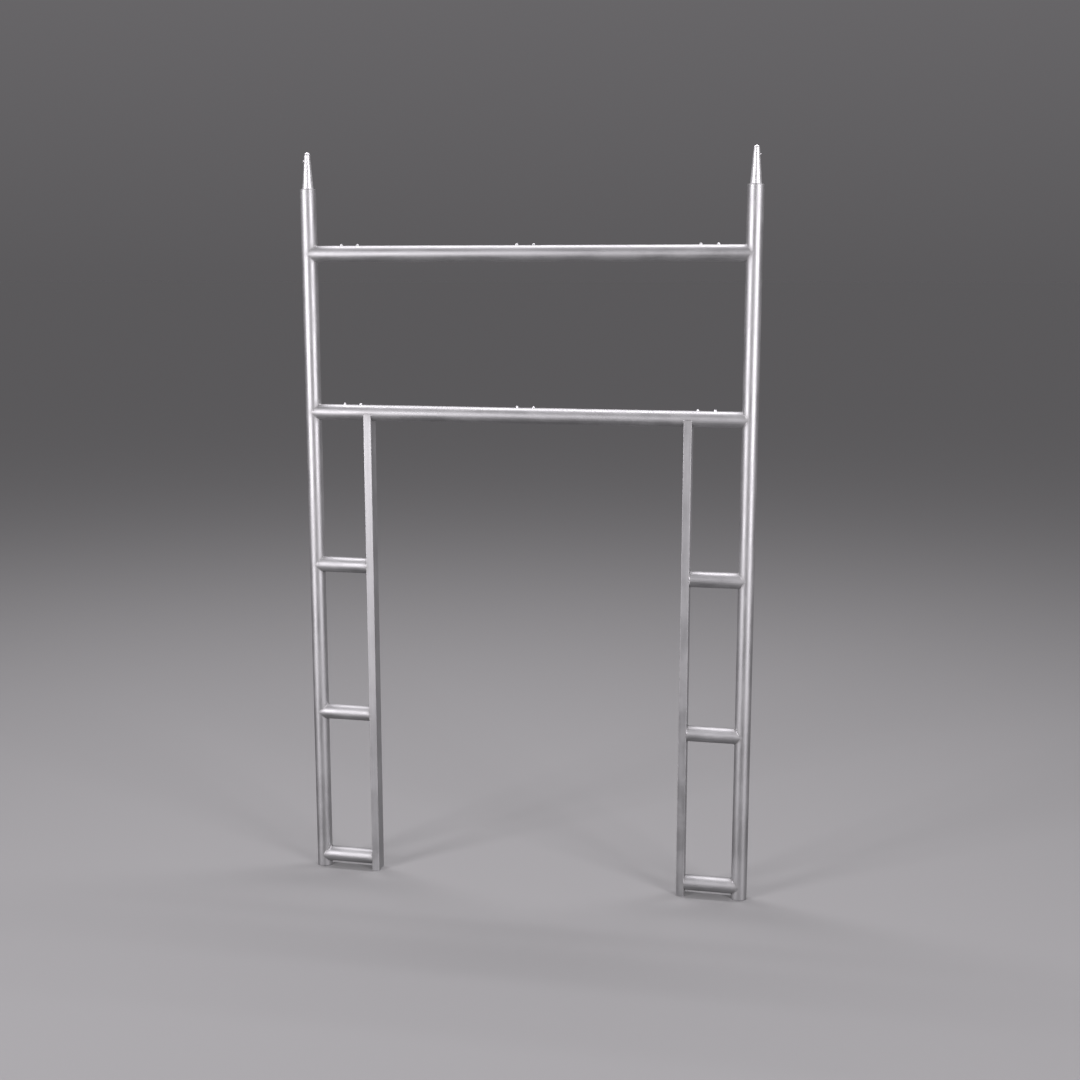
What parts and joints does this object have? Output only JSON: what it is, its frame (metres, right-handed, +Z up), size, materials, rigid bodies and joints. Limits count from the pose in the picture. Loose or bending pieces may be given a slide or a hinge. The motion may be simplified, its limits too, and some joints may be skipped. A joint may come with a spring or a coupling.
{
  "type": "walk-through scaffold frame",
  "caption": "Aluminium scaffold end frame with a walk-through opening: tube posts with tapered spigots, ledgers, rectangular inner legs and side rungs.",
  "frame": {"origin": "on the floor, midway between the two posts, in the plane of the tube axes", "axes": "+X from the left post to the right post as seen from the front, +Y to the back, +Z up along the posts"},
  "size_m": [1.45, 0.05, 2.3525],
  "materials": {
    "round_tube": "mill-finish extruded tube, satin, fine lengthwise drawing lines",
    "inner_leg": "mill-finish rectangular tube, satin",
    "spigot": "turned aluminium, much brighter than the tubes, satin",
    "spigot_pin": "plain steel pin, ends dressed flush",
    "deck_stud": "satin domed stud, welded on",
    "catch_button": "zinc-plated steel, smooth",
    "catch_spring": "blued spring steel strip",
    "weld": "weld bead with fine ripples"
  },
  "bodies": {
    "frame": {"left_post": "round_tube", "right_post": "round_tube", "left_spigot": "spigot", "right_spigot": "spigot", "left_spigot_pin": "spigot_pin", "right_spigot_pin": "spigot_pin", "top_ledger": "round_tube", "lower_ledger": "round_tube", "left_inner_leg": "inner_leg", "right_inner_leg": "inner_leg", "left_rung_1": "round_tube", "left_rung_2": "round_tube", "left_rung_3": "round_tube", "right_rung_1": "round_tube", "right_rung_2": "round_tube", "right_rung_3": "round_tube", "top_deck_stud_1": "deck_stud", "top_deck_stud_2": "deck_stud", "top_deck_stud_3": "deck_stud", "top_deck_stud_4": "deck_stud", "top_deck_stud_5": "deck_stud", "top_deck_stud_6": "deck_stud", "lower_deck_stud_1": "deck_stud", "lower_deck_stud_2": "deck_stud", "lower_deck_stud_3": "deck_stud", "lower_deck_stud_4": "deck_stud", "lower_deck_stud_5": "deck_stud", "lower_deck_stud_6": "deck_stud", "left_catch_spring": "catch_spring", "right_catch_spring": "catch_spring"},
    "left_catch": {"left_catch_button": "catch_button"},
    "right_catch": {"right_catch_button": "catch_button"}
  },
  "joints": [
    {"name": "left_catch_press", "type": "slide", "parent": "frame", "child": "left_catch", "axis": [1, 0, 0], "range_m": [0, 0.0035], "stiffness_N_per_m": 2000, "springref_m": -0.002, "deforming": ["left_catch_spring"]},
    {"name": "right_catch_press", "type": "slide", "parent": "frame", "child": "right_catch", "axis": [-1, 0, 0], "range_m": [0, 0.0035], "stiffness_N_per_m": 2000, "springref_m": -0.002, "deforming": ["right_catch_spring"]}
  ]
}
